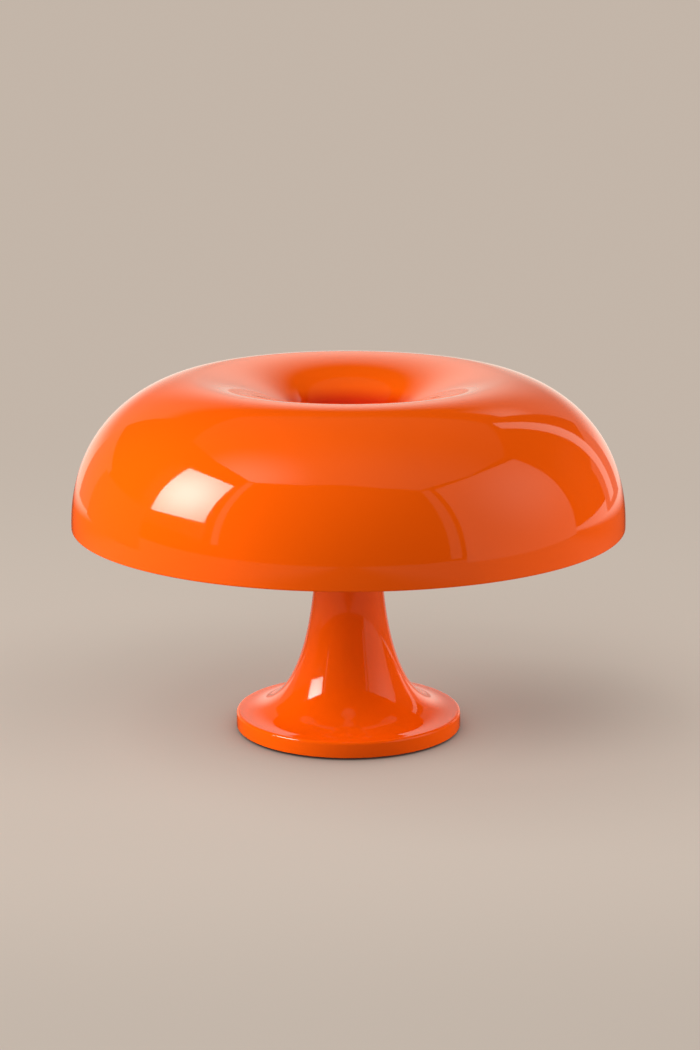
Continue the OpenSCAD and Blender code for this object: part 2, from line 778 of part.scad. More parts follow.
// Leads: a riser from the terminal block to the hub, then a loop past the four tabs
riser = [
    [4.5, 29, 0], [4.5, 24, 0], [4.4, 21.5, 0.4], [4.2, 19, 1.8], [3.8, 17.4, 4.6],
    [3.4, 16.4, 10], [2.9, 15.2, 20], [2.4, 13.8, 32], [1.9, 12.4, 46], [1.5, 11.2, 62],
    [1.3, 10.6, 78], [1.3, 10.5, 96], [1.3, 10.5, 112], [1.3, 10.5, 122]];
loop_start = 21;
loop_end = 365;
loop_steps = 20;
loop_in_r = 11.6;
loop_widen = 60;
function ease(s) = s * s * (3 - 2 * s);
function loop_r(a) = loop_in_r + (lead_loop_r - loop_in_r) * ease(min((a - loop_start) / loop_widen, 1));
function lead_path(s, z) = concat(
    [for (p = riser) [s * p[0], p[1], barrel_z + p[2]]],
    [[s * 1.4, 10.5, z - 4.4], [s * 2.2, 10.6, z - 1.7], [s * 3.8, 10.8, z - 0.3]],
    [for (i = [1:loop_steps]) let (a = loop_start + (loop_end - loop_start) * i / loop_steps)
        [s * loop_r(a) * sin(a), loop_r(a) * cos(a), z]]);
function heading(path, i) = unit(path[min(i + 1, len(path) - 1)] - path[max(i - 1, 0)]);
function across(path, i) = i == 0 ? [1, 0, 0]
    : let (before = across(path, i - 1), h = heading(path, i)) unit(before - (before * h) * h);

module swept(path, d, sides) {
    count = len(path);
    points = [for (i = [0:count - 1]) let (a = across(path, i), b = cross(heading(path, i), a))
        for (k = [0:sides - 1]) path[i] + d / 2 * (cos(360 * k / sides) * a + sin(360 * k / sides) * b)];
    walls = [for (i = [0:count - 2], k = [0:sides - 1]) let (m = (k + 1) % sides)
        each [[sides * i + k, sides * (i + 1) + m, sides * i + m],
              [sides * i + k, sides * (i + 1) + k, sides * (i + 1) + m]]];
    ends = [[for (k = [0:sides - 1]) k], [for (k = [sides - 1:-1:0]) sides * (count - 1) + k]];
    polyhedron(points, concat(walls, ends), convexity = 8);
}

module lead_brown() {
    color(brown) swept(lead_path(-1, bulb_z + live_tab_z), lead_d, 8);
}

module lead_blue() {
    color(blue) swept(lead_path(1, bulb_z - neutral_tab_z), lead_d, 8);
}

stem_body();
base_cover();
foot_pad();
cover_screws();
ballast();
cord_bush();
terminal_block();
terminal_inserts();
terminal_screws();
block_screw();
center_tube();
tube_washer();
tube_nut();
lead_brown();
lead_blue();
hub_base();
hub_nut();
hub_body();
hub_top_nut();
shade_seat();
shade_skirt();
shade();
shade_well();
shade_washer();
shade_knob();
knob_insert();
for (i = BULBS) {
    holder(i);
    shell(i);
    contact(i);
    bulb_glass(i);
    bulb_cap(i);
    bulb_insulator(i);
    bulb_tip(i);
}
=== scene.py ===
import json
import math

import bmesh
import bpy
from mathutils import Matrix, Vector

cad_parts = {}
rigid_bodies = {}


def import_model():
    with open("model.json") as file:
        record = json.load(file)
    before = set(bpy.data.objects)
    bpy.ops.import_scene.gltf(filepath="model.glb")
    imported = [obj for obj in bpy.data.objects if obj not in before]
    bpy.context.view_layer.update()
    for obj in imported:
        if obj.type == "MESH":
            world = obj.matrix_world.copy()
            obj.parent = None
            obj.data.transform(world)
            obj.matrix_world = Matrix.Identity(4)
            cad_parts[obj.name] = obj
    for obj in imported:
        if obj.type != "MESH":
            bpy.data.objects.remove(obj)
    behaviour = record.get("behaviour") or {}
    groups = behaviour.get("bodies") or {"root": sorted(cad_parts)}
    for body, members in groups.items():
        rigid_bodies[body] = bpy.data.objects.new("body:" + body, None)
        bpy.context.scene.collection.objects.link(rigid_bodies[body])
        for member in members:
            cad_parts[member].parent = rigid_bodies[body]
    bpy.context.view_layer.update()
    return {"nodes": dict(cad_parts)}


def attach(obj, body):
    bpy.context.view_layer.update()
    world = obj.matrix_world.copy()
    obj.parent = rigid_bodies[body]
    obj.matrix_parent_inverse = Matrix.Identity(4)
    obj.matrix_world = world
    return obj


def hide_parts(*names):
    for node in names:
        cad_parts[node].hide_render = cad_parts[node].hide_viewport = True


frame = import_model()
nodes = frame["nodes"]

MM = 0.001
BULBS = (1, 2, 3, 4)

# ---- Sizes in millimetres, as in the part's source ----
SHADE_R, CREST_R, THROAT_R = 160.0, 88.6, 20.0
RIM_Z, CREST_Z, THROAT_Z, FLOOR_Z = 123.6, 208.9, 166.6, 163.6
RIM_ROUND, RIM_BAND, SHADE_WALL, THROAT_FILLET = 0.8, 0.4, 3.0, 2.0
SHOULDER_UP, SHOULDER_LEVEL, WELL_LEVEL, WELL_UP = 63.1, 18.8, 14.2, 30.1
TUBE_HOLE_R = 5.3

FOOT_R, FOOT_TOP_Z, FOOT_EDGE_Z, FOOT_ROUND, FOOT_EDGE_ROUND = 66.0, 10.8, 1.4, 1.8, 0.4
FLARE_R, FLARE_LEVEL, NECK_R, NECK_UP, NECK_Z, BODY_WALL = 62.4, 42.4, 18.6, 40.5, 134.0, 3.0
FOOT_IN_R, FOOT_UNDER_Z = FOOT_R - BODY_WALL, FOOT_TOP_Z - BODY_WALL
BUSH_R, BUSH_Z = 3.7, 5.2
BOSS_R, BOSS_AT_R, BOSS_LOW_Z, BOSS_SINK, BOSS_ANGLES = 3.2, 44.0, 3.3, 1.2, (270, 30, 150)
PILOT_R, PILOT_TOP_Z = 1.2, 10.1
LEAD_HOLE_R, LEAD_HOLE_Y = 2.6, 10.5

TUBE_R, TUBE_BORE_R, TUBE_LOW_Z, TUBE_TOP_Z = 5.0, 3.6, 3.6, 178.0

KNOB_R, KNOB_Z, KNOB_H, KNOB_DOME, KNOB_ROUND, KNOB_EDGE = 12.0, 168.0, 17.0, 2.4, 1.6, 0.5
FLUTES, FLUTE_R, INSERT_R, INSERT_H = 16, 1.5, 7.6, 11.1

BULB_Z, HUB_FACE, HOLDER_FLOOR, TIP_U = 147.6, 23.0, 5.0, 7.3
CAP_R, CAP_END, CAP_FOOT, CAP_COLLAR, CAP_IN_R, CAP_FLOOR = 6.9, 22.0, 4.4, 19.4, 6.1, 0.5
THREAD, PITCH, BRASS, FREE = 0.5, 2.8, 0.5, 0.3
SHELL_R, SHELL_END = 7.85, 24.5
TAB_X, TAB_W, TAB_END_U, TAB_SINK = 6.0, 3.0, -4.7, 0.45
GLOBE_R, GLOBE_V, GLOBE_START, NECK_V, NECK_GLASS_R = 22.5, 55.5, -48.0, 22.3, 7.2
NECK_BOW, NECK_LIP, GLASS, GLASS_NECK_R, GLASS_LOW_V = 7.0, 0.5, 0.8, 6.0, 14.0

# ---- Finer shapes than the source has, in millimetres. Pairs are (radius, level) steps from a corner ----
CORNER_PULL = 0.55          # how far the handles of the corner below the throat reach, as a share of it
TUBE_PITCH, TUBE_THREAD = 1.0, 0.3
TUBE_THREAD_LEAST = 0.4     # what is left of the thread's depth at the tube's ends, as a share
TUBE_PLAIN_LOW_Z, TUBE_PLAIN_TOP_Z = 12.0, 154.0
FLUTE_OUT, FLUTES_FROM_R = 0.96, 8.1
NECK_LIP_STEPS = ((-0.35, 0), (-0.1, 0.15))
NECK_LIP_INSIDE = 0.3
CAP_PLAIN = 1
CAP_FOOT_STEPS = ((-0.6, 0), (-0.15, 0.15), (0, 0.5))
CAP_COLLAR_LOW_STEPS, CAP_COLLAR_HIGH_STEPS = ((0, 1), (0.05, 1.2)), ((-0.05, 1.4), (0, 1.6))
CAP_END_STEPS = ((0, -0.1), (-0.1, 0))
OVER = 1                    # how far a cutting tool reaches past what it cuts

# ---- How finely the outlines are divided ----
SHOULDER_PARTS, WELL_PARTS, FLARE_PARTS, NECK_PARTS, GLOBE_PARTS = 90, 84, 110, 20, 56
EDGE_PARTS, RIM_PARTS, ROUND_PARTS, DOME_PARTS = 6, 8, 12, 20
TUBE_PARTS_A_TURN, CAP_PARTS_A_TURN, PARTS_A_FLUTE, KNOB_STEP = 6, 10, 20, 2


# ---- Outlines ----
def bezier(a, b, c, d, n):
    """n + 1 points on a cubic curve."""
    points = []
    for i in range(n + 1):
        t = i / n
        k = ((1 - t) ** 3, 3 * t * (1 - t) ** 2, 3 * t * t * (1 - t), t ** 3)
        points.append(tuple(sum(w * p[j] for w, p in zip(k, (a, b, c, d))) for j in (0, 1)))
    return points


def arc(cx, cz, r, a0, a1, n):
    """n + 1 points on a circle's arc, angles in degrees."""
    angles = [math.radians(a0 + (a1 - a0) * i / n) for i in range(n + 1)]
    return [(cx + r * math.cos(a), cz + r * math.sin(a)) for a in angles]


def levels(first, last, step):
    """Evenly spaced places from first to last, about step apart."""
    n = round((last - first) / step)
    return [first + (last - first) * i / n for i in range(n + 1)]


def beside(path, gap):
    """The path moved to its left by gap."""
    moved = []
    for i, (x, z) in enumerate(path):
        a, b = path[max(i - 1, 0)], path[min(i + 1, len(path) - 1)]
        dx, dz = b[0] - a[0], b[1] - a[1]
        length = math.hypot(dx, dz)
        moved.append((x - gap * dz / length, z + gap * dx / length))
    return moved


def stepped(r, z, steps):
    """Points at small steps from a corner."""
    return [(r + dr, z + dz) for dr, dz in steps]


# ---- Meshes ----
def mesh_object(name, verts, faces, sharp=35):
    """A closed mesh with outward normals, smooth except at edges sharper than that angle."""
    mesh = bpy.data.meshes.new(name)
    mesh.from_pydata(verts, [], faces)
    bm = bmesh.new()
    bm.from_mesh(mesh)
    bmesh.ops.remove_doubles(bm, verts=bm.verts, dist=1e-7)
    bmesh.ops.recalc_face_normals(bm, faces=bm.faces)
    bm.to_mesh(mesh)
    bm.free()
    obj = bpy.data.objects.new(name, mesh)
    bpy.context.scene.collection.objects.link(obj)
    shade_smooth(obj, sharp)
    return obj


def shade_smooth(obj, sharp=35):
    obj.data.polygons.foreach_set("use_smooth", [True] * len(obj.data.polygons))
    obj.data.set_sharp_from_angle(angle=math.radians(sharp))


def lathe(name, outline, steps=192, matrix=None, sharp=35, wave=None):
    """Turns a closed outline of (r, z) in mm about Z. wave(r, z, angle) may move a point's radius."""
    verts, rings = [], []
    for r, z in outline:
        if r < 1e-6:
            rings.append([len(verts)] * steps)
            verts.append(Vector((0, 0, z * MM)))
            continue
        rings.append(list(range(len(verts), len(verts) + steps)))
        for k in range(steps):
            a = 2 * math.pi * k / steps
            q = wave(r, z, a) if wave else r
            verts.append(Vector((q * math.cos(a) * MM, q * math.sin(a) * MM, z * MM)))
    faces = []
    for i, ring in enumerate(rings):
        above = rings[(i + 1) % len(rings)]
        for k in range(steps):
            m = (k + 1) % steps
            face = list(dict.fromkeys((ring[k], ring[m], above[m], above[k])))
            if len(face) > 2:
                faces.append(face)
    if matrix is not None:
        verts = [matrix @ v for v in verts]
    return mesh_object(name, verts, faces, sharp)


def cut(obj, tool, operation="DIFFERENCE"):
    """Cuts the tool from the object, or joins it on, and removes the tool."""
    modifier = obj.modifiers.new("cut", "BOOLEAN")
    modifier.operation = operation
    modifier.solver = "MANIFOLD"
    modifier.object = tool
    evaluated = obj.evaluated_get(bpy.context.evaluated_depsgraph_get())
    mesh = bpy.data.meshes.new_from_object(evaluated)
    obj.modifiers.clear()
    old, obj.data = obj.data, mesh
    bpy.data.meshes.remove(old)
    bpy.data.objects.remove(tool)
    shade_smooth(obj)


def rod(r, z0, z1, matrix=None, steps=64):
    """A tool: a round bar along Z."""
    return lathe("tool", [(0, z0), (r, z0), (r, z1), (0, z1)], steps, matrix)


def block(x0, x1, y0, y1, z0, z1):
    """A tool: a box between those places."""
    corners = [Vector((x, y, z)) * MM for x in (x0, x1) for y in (y0, y1) for z in (z0, z1)]
    faces = [(0, 1, 3, 2), (4, 6, 7, 5), (0, 4, 5, 1), (2, 3, 7, 6), (0, 2, 6, 4), (1, 5, 7, 3)]
    return mesh_object("tool", corners, faces)


# ---- Shade: one skin in place of the three nodes that the source splits it into ----
shoulder_z = RIM_Z + RIM_ROUND + RIM_BAND
shoulder = bezier((SHADE_R, shoulder_z), (SHADE_R, shoulder_z + SHOULDER_UP),
                  (CREST_R + SHOULDER_LEVEL, CREST_Z), (CREST_R, CREST_Z), SHOULDER_PARTS)
well = bezier((CREST_R, CREST_Z), (CREST_R - WELL_LEVEL, CREST_Z),
              (THROAT_R, THROAT_Z + WELL_UP), (THROAT_R, THROAT_Z + THROAT_FILLET), WELL_PARTS)
skin = shoulder + well[1:]
fillet_at = (THROAT_R - THROAT_FILLET, THROAT_Z + THROAT_FILLET)
low_r, low_z = fillet_at[0], FLOOR_Z
high_r, high_z = THROAT_R + SHADE_WALL, fillet_at[1]
under_corner = bezier((low_r, low_z), (low_r + CORNER_PULL * (high_r - low_r), low_z),
                      (high_r, high_z - CORNER_PULL * (high_z - low_z)), (high_r, high_z), ROUND_PARTS)
shade = lathe("shade_skin",
              arc(SHADE_R - SHADE_WALL + RIM_ROUND, RIM_Z + RIM_ROUND, RIM_ROUND, 180, 270, RIM_PARTS)
              + arc(SHADE_R - RIM_ROUND, RIM_Z + RIM_ROUND, RIM_ROUND, -90, 0, RIM_PARTS)
              + skin
              + arc(*fillet_at, THROAT_FILLET, 0, -90, ROUND_PARTS)[1:]
              + [(TUBE_HOLE_R, THROAT_Z), (TUBE_HOLE_R, FLOOR_Z)]
              + under_corner
              + beside(skin, SHADE_WALL)[::-1][1:],
              steps=288)

# ---- Stem and foot ----
flare = bezier((FLARE_R, FOOT_TOP_Z), (FLARE_R - FLARE_LEVEL, FOOT_TOP_Z),
               (NECK_R, NECK_Z - NECK_UP), (NECK_R, NECK_Z), FLARE_PARTS)
roof_z = NECK_Z - BODY_WALL
stem = lathe("stem_skin",
             arc(FOOT_R - FOOT_EDGE_ROUND, FOOT_EDGE_Z + FOOT_EDGE_ROUND, FOOT_EDGE_ROUND, -90, 0,
                 EDGE_PARTS)
             + arc(FOOT_R - FOOT_ROUND, FOOT_TOP_Z - FOOT_ROUND, FOOT_ROUND, 0, 90, ROUND_PARTS)
             + flare
             + [(TUBE_HOLE_R, NECK_Z), (TUBE_HOLE_R, roof_z)]
             + [p for p in beside(flare, BODY_WALL)[::-1] if p[1] < roof_z]
             + [(FOOT_IN_R, FOOT_UNDER_Z), (FOOT_IN_R, FOOT_EDGE_Z)],
             steps=240)

bush_at = Matrix.Translation((0, 0, BUSH_Z * MM)) @ Matrix.Rotation(math.radians(-90), 4, "X")
cut(stem, rod(BUSH_R, FOOT_IN_R - OVER, FOOT_R + OVER, bush_at))
cut(stem, block(-BUSH_R, BUSH_R, FOOT_IN_R - OVER, FOOT_R + OVER, 0, BUSH_Z))
for degrees in BOSS_ANGLES:
    boss_at = Matrix.Rotation(math.radians(degrees), 4, "Z") @ Matrix.Translation((BOSS_AT_R * MM, 0, 0))
    cut(stem, rod(BOSS_R, BOSS_LOW_Z, FOOT_UNDER_Z + BOSS_SINK, boss_at), "UNION")
    cut(stem, rod(PILOT_R, BOSS_LOW_Z - OVER, PILOT_TOP_Z, boss_at))
cut(stem, rod(LEAD_HOLE_R, roof_z - OVER, NECK_Z + OVER, Matrix.Translation((0, LEAD_HOLE_Y * MM, 0))))


# ---- Centre tube, with its thread where it can be seen ----
def tube_wave(r, z, a):
    """A helical thread, but not on the bore and not on the hidden length in the middle."""
    if r < TUBE_R - 1e-6 or TUBE_PLAIN_LOW_Z < z < TUBE_PLAIN_TOP_Z:
        return r
    share = min(1, (TUBE_TOP_Z - z) / TUBE_PITCH, (z - TUBE_LOW_Z) / TUBE_PITCH)
    depth = TUBE_THREAD * (0.5 - 0.5 * math.cos(2 * math.pi * z / TUBE_PITCH - a))
    return r - depth * max(TUBE_THREAD_LEAST, share)


thread_levels = (levels(TUBE_LOW_Z, TUBE_PLAIN_LOW_Z, TUBE_PITCH / TUBE_PARTS_A_TURN)
                 + levels(TUBE_PLAIN_TOP_Z, TUBE_TOP_Z, TUBE_PITCH / TUBE_PARTS_A_TURN))
tube = lathe("center_tube_skin",
             [(TUBE_R, z) for z in thread_levels] + [(TUBE_BORE_R, TUBE_TOP_Z), (TUBE_BORE_R, TUBE_LOW_Z)],
             steps=60, wave=tube_wave)


# ---- Knob ----
def knob_wave(r, z, a):
    """A fluted outside: the flutes are round grooves whose axes lie just outside the knob."""
    if r < FLUTES_FROM_R:
        return r
    turn = 2 * math.pi / FLUTES
    off = (a + turn / 2) % turn - turn / 2
    axis = KNOB_R + FLUTE_OUT
    across = axis * math.sin(off)
    if abs(across) >= FLUTE_R:
        return r
    groove = axis * math.cos(off) - math.sqrt(FLUTE_R ** 2 - across ** 2)
    return min(r, groove)


edge_r, edge_z = KNOB_R - KNOB_ROUND, KNOB_H - KNOB_DOME
dome_r = (edge_r ** 2 + KNOB_DOME ** 2) / (2 * KNOB_DOME)
dome_start = math.degrees(math.acos(edge_r / dome_r))
dome = arc(0, KNOB_H - dome_r, dome_r, dome_start, 90, DOME_PARTS)[1:-1] + [(0, KNOB_H)]
knob_outline = ([(INSERT_R, 0), (KNOB_R - KNOB_EDGE, 0), (KNOB_R, KNOB_EDGE)]
                + [(KNOB_R, z) for z in levels(KNOB_EDGE, edge_z - KNOB_ROUND, KNOB_STEP)[1:-1]]
                + arc(edge_r, edge_z - KNOB_ROUND, KNOB_ROUND, 0, 90, ROUND_PARTS)
                + dome + [(0, INSERT_H), (INSERT_R, INSERT_H)])
knob = lathe("shade_knob_skin", [(r, KNOB_Z + z) for r, z in knob_outline],
             steps=FLUTES * PARTS_A_FLUTE, wave=knob_wave)


# ---- Bulbs and their thread shells ----
def thread_wave(first, last, phase):
    """A helical thread between two places on the axis, which grows and fades over half a turn."""
    fade = PITCH / 2

    def wave(r, z, a):
        if not first < z < last:
            return r
        share = min(1, (z - first) / fade, (last - z) / fade)
        return r + THREAD / 2 * share * math.sin(2 * math.pi * (z + phase) / PITCH - a)
    return wave


globe_a = math.radians(GLOBE_START)
start = (GLOBE_R * math.cos(globe_a), GLOBE_V + GLOBE_R * math.sin(globe_a))
bow = (-math.sin(globe_a) * NECK_BOW, math.cos(globe_a) * NECK_BOW)
neck = bezier((NECK_GLASS_R, NECK_V + NECK_LIP), (NECK_GLASS_R, NECK_V + NECK_LIP + NECK_BOW),
              (start[0] - bow[0], start[1] - bow[1]), start, NECK_PARTS)
globe = arc(0, GLOBE_V, GLOBE_R, GLOBE_START, 90, GLOBE_PARTS)[1:-1] + [(0, GLOBE_V + GLOBE_R)]
glass_skin = neck + globe
glass_inside = [(max(r, 0), v) for r, v in beside(glass_skin, GLASS)[::-1]
                if v > NECK_V + GLASS + NECK_LIP]
glass_inside[0] = (0, GLOBE_V + GLOBE_R - GLASS)
glass_outline = ([(GLASS_NECK_R - GLASS, GLASS_LOW_V), (GLASS_NECK_R, GLASS_LOW_V), (GLASS_NECK_R, NECK_V)]
                 + stepped(NECK_GLASS_R, NECK_V, NECK_LIP_STEPS)
                 + glass_skin + glass_inside + [(GLASS_NECK_R - GLASS, NECK_V + NECK_LIP_INSIDE)])

cap_mid = CAP_R - THREAD / 2
cap_outline = ([(0, CAP_FOOT)] + stepped(cap_mid, CAP_FOOT, CAP_FOOT_STEPS)
               + [(cap_mid, v) for v in levels(CAP_FOOT + CAP_PLAIN, CAP_COLLAR, PITCH / CAP_PARTS_A_TURN)]
               + stepped(cap_mid, CAP_COLLAR, CAP_COLLAR_LOW_STEPS)
               + stepped(CAP_R, CAP_COLLAR, CAP_COLLAR_HIGH_STEPS)
               + stepped(CAP_R, CAP_END, CAP_END_STEPS)
               + [(CAP_IN_R, CAP_END), (CAP_IN_R, CAP_FOOT + CAP_FLOOR), (0, CAP_FOOT + CAP_FLOOR)])

foot_in = TAB_X - BRASS - FREE
shell_start = HOLDER_FLOOR + 2 * BRASS
shell_levels = levels(shell_start, SHELL_END, PITCH / CAP_PARTS_A_TURN)
shell_outline = ([(foot_in, HOLDER_FLOOR), (SHELL_R, HOLDER_FLOOR)] + [(SHELL_R, u) for u in shell_levels]
                 + [(SHELL_R - BRASS, u) for u in shell_levels[::-1]]
                 + [(SHELL_R - BRASS, HOLDER_FLOOR + BRASS), (foot_in, HOLDER_FLOOR + BRASS)])

# ---- Each piece with its body, the nodes that it replaces and its slot ----
pieces = [(shade, "shade", ("shade_skirt", "shade", "shade_well"), "orange_plastic"),
          (stem, "base", ("stem_body",), "orange_plastic"),
          (tube, "base", ("center_tube",), "steel"),
          (knob, "shade_knob", ("shade_knob",), "orange_plastic")]
for i in BULBS:
    hub = (Matrix.Translation((0, 0, BULB_Z * MM)) @ Matrix.Rotation(math.radians(90 * (i - 1)), 4, "Z")
           @ Matrix.Translation((HUB_FACE * MM, 0, 0)) @ Matrix.Rotation(math.radians(90), 4, "Y"))
    tip = hub @ Matrix.Translation((0, 0, TIP_U * MM))
    glass = lathe(f"bulb_glass_skin_{i}", glass_outline, 96, tip)
    cap = lathe(f"bulb_cap_skin_{i}", cap_outline, 72, tip,
                wave=thread_wave(CAP_FOOT + CAP_PLAIN, CAP_COLLAR, TIP_U))
    shell = lathe(f"shell_skin_{i}", shell_outline, 72, hub, wave=thread_wave(shell_start, SHELL_END, 0))
    tab = block(TAB_X - BRASS / 2, TAB_X + BRASS / 2, -TAB_W / 2, TAB_W / 2,
                TAB_END_U, HOLDER_FLOOR + TAB_SINK)
    tab.data.transform(hub)
    cut(shell, tab, "UNION")
    pieces += [(glass, f"bulb_{i}", (f"bulb_glass_{i}",), "opal_glass"),
               (cap, f"bulb_{i}", (f"bulb_cap_{i}",), "cap_metal"),
               (shell, "base", (f"shell_{i}",), "brass")]

for piece, body, replaced, slot in pieces:
    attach(piece, body)
    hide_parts(*replaced)


# ---- Node helpers ----
LEVEL = (1, 1, 0)


def cleared_tree(owner):
    """The empty node tree of a new material or world."""
    owner.use_nodes = True
    owner.node_tree.nodes.clear()
    return owner.node_tree


def add(tree, kind, inputs=None, **settings):
    """A shader node. Each input is set to a value or linked to another node's output."""
    node = tree.nodes.new("ShaderNode" + kind)
    for key, value in settings.items():
        setattr(node, key, value)
    for key, value in (inputs or {}).items():
        if isinstance(value, bpy.types.NodeSocket):
            tree.links.new(value, node.inputs[key])
        else:
            node.inputs[key].default_value = value
    return node


def math_node(tree, operation, a, b=0.0):
    return add(tree, "Math", {0: a, 1: b}, operation=operation).outputs[0]


def ramp(tree, value, low, high, to_low=0.0, to_high=1.0):
    """The value mapped smoothly from low..high to to_low..to_high."""
    inputs = {"Value": value, "From Min": low, "From Max": high, "To Min": to_low, "To Max": to_high}
    return add(tree, "MapRange", inputs, interpolation_type="SMOOTHSTEP").outputs[0]


def scaled(tree, place, factors):
    return add(tree, "VectorMath", {0: place, 1: factors}, operation="MULTIPLY").outputs[0]


def distance_to(tree, point, flat=False):
    """Distance in metres from a point in the scene, level distance if flat."""
    place = add(tree, "NewGeometry").outputs["Position"]
    if flat:
        place = scaled(tree, place, LEVEL)
    return add(tree, "VectorMath", {0: place, 1: point}, operation="DISTANCE").outputs["Value"]


def noise(tree, place, scale, detail, **inputs):
    return add(tree, "TexNoise", {"Vector": place, "Scale": scale, "Detail": detail, **inputs}).outputs[0]


def emission(tree, color, strength):
    return add(tree, "Emission", {"Color": (*color, 1), "Strength": strength}).outputs[0]


def mix_shader(tree, share, first, second):
    return add(tree, "MixShader", {0: share, 1: first, 2: second}).outputs[0]


def mix_color(tree, share, first, second):
    """The colour that passes from first to second as the share goes from 0 to 1."""
    return add(tree, "Mix", {0: share, 6: first, 7: second}, data_type="RGBA").outputs[2]


# ---- Studio ----
WARM, SOFTBOX_WHITE, SOFT_WARM = (1, 0.92, 0.8), (1, 0.94, 0.88), (1, 0.88, 0.85)
LAMP_MIDDLE = Vector((0, 0, 0.12))
panels = []


def stage_mesh(name, corners):
    """A flat face that isn't part of the object."""
    mesh = bpy.data.meshes.new(name)
    mesh.from_pydata(corners, [], [tuple(range(len(corners)))])
    obj = bpy.data.objects.new(name, mesh)
    bpy.context.scene.collection.objects.link(obj)
    return obj


def panel(name, corners, strength, spots=(), bands=(), color=WARM):
    """A glowing panel, corners in mm. Each spot (centre, radius, strength) adds light near its centre.
    Each band (axis, start, end, strength) adds light, or takes it where negative, from start to end."""
    obj = stage_mesh(name, [Vector(c) * MM for c in corners])
    obj.visible_camera = False
    obj.visible_shadow = False
    material = bpy.data.materials.new(name)
    tree = cleared_tree(material)
    glow = strength
    for centre, radius, extra in spots:
        near = ramp(tree, distance_to(tree, Vector(centre) * MM), 0.0, radius * MM, extra, 0.0)
        glow = math_node(tree, "ADD", glow, near)
    for axis, first, last, extra in bands:
        place = add(tree, "NewGeometry").outputs["Position"]
        along = add(tree, "SeparateXYZ", {0: place}).outputs[axis]
        glow = math_node(tree, "ADD", glow, ramp(tree, along, first * MM, last * MM, 0.0, extra))
    add(tree, "OutputMaterial", {"Surface": emission(tree, color, glow)})
    obj.data.materials.append(material)
    panels.append(obj)
    return obj


def link(light, state, obj):
    """The light reaches that object alone (INCLUDE), or all but that object (EXCLUDE)."""
    group = bpy.data.collections.new(light.name)
    group.objects.link(obj)
    group.collection_objects[0].light_linking.link_state = state
    light.light_linking.receiver_collection = group


def fill(name, azimuth, elevation, size, strength, distance=2.5, color=(1, 1, 1)):
    """A wide lamp for the diffuse light alone. Azimuth 0 is in front of the object, + is to the right."""
    a, e = math.radians(azimuth), math.radians(elevation)
    toward = Vector((math.sin(a) * math.cos(e), -math.cos(a) * math.cos(e), math.sin(e)))
    light = bpy.data.lights.new(name, "AREA")
    light.size = size
    light.energy = strength * (math.pi * distance) ** 2
    light.color = color
    obj = bpy.data.objects.new(name, light)
    bpy.context.scene.collection.objects.link(obj)
    obj.location = toward * distance + LAMP_MIDDLE
    obj.rotation_euler = toward.to_track_quat("Z", "Y").to_euler()
    obj.visible_glossy = False
    return obj


# Strengths of the panels, of the dome behind them, of the fill lamps, and of the floor's own lamps
LIGHT = {"softbox": 8.5, "softbox_spot": 9.0,
         "right": 0.52, "right_spot": 0.6,
         "strip_right": 1.05, "strip_front_right": 0.36, "strip_front_left": 0.6,
         "ceiling": 0.11, "ceiling_front": 0.23, "ceiling_spot": 1.7,
         "backdrop": 0.28, "backdrop_mid": 0.95, "backdrop_corner": 0.8, "backdrop_foot": 0.8,
         "backdrop_fade": -0.26, "backdrop_side": 0.25, "left_low": 0.09,
         "dome_seen": 0.02,
         "fill_right": 0.64, "fill_left": 0.12, "fill_key": 1.45, "fill_back_right": 0.36, "fill_top": 0.12,
         "floor_front_left": 0.35, "floor_front_right": 0.08, "floor_left": 0.35}
panel("softbox", [(-842, -25, 901), (-712, -452, 933), (-963, -594, 478), (-1122, -96, 421)],
      LIGHT["softbox"], [((-910, -290, 690), 420, LIGHT["softbox_spot"])],
      color=SOFTBOX_WHITE).visible_diffuse = False
panel("panel_right", [(685, -703, 1155), (877, -347, 1169), (987, 174, 1080), (1376, 238, 61),
                      (1345, -470, 55), (1026, -1016, 67)],
      LIGHT["right"], [((1060, -150, 760), 700, LIGHT["right_spot"])])
panel("strip_right", [(670, 615, 1116), (587, 677, 1117), (904, 1004, 61), (1014, 905, 62)],
      LIGHT["strip_right"])
panel("strip_front_right", [(584, -775, 1169), (643, -730, 1164), (992, -1053, 138), (910, -1128, 143)],
      LIGHT["strip_front_right"])
panel("strip_front_left", [(-759, -527, 1196), (-718, -571, 1203), (-1112, -906, 284), (-1156, -847, 278)],
      LIGHT["strip_front_left"])
panel("ceiling", [(-841, 429, 1200), (-841, -58, 1229), (-744, -515, 1209), (-692, -579, 1215),
                  (-370, -744, 1276), (-57, -782, 1309), (263, -814, 1262), (584, -775, 1200),
                  (877, -347, 1200), (985, 167, 1200), (600, 700, 1200), (-400, 800, 1200)],
      LIGHT["ceiling"], [((-740, -450, 1200), 600, LIGHT["ceiling_spot"])],
      [("Y", 200, -600, LIGHT["ceiling_front"])]).visible_diffuse = False
panel("backdrop", [(-800, 1100, 0), (710, 1100, 0), (710, 1100, 1300), (-800, 1100, 1300)],
      LIGHT["backdrop"],
      [((0, 1100, 640), 540, LIGHT["backdrop_mid"]), ((690, 1100, 1200), 330, LIGHT["backdrop_corner"])],
      [("Z", 450, 100, LIGHT["backdrop_foot"]), ("Z", 950, 1200, LIGHT["backdrop_fade"])])
panel("backdrop_left", [(-1500, 1000, 0), (-800, 1100, 0), (-800, 1100, 600), (-1500, 1000, 600)],
      LIGHT["backdrop_side"])
panel("backdrop_right", [(710, 1100, 0), (1400, 1100, 0), (1400, 1100, 500), (710, 1100, 500)],
      LIGHT["backdrop_side"])
panel("panel_left_low", [(-1100, -60, 400), (-1200, -60, 0), (-1100, 900, 0), (-1000, 700, 400)],
      LIGHT["left_low"])
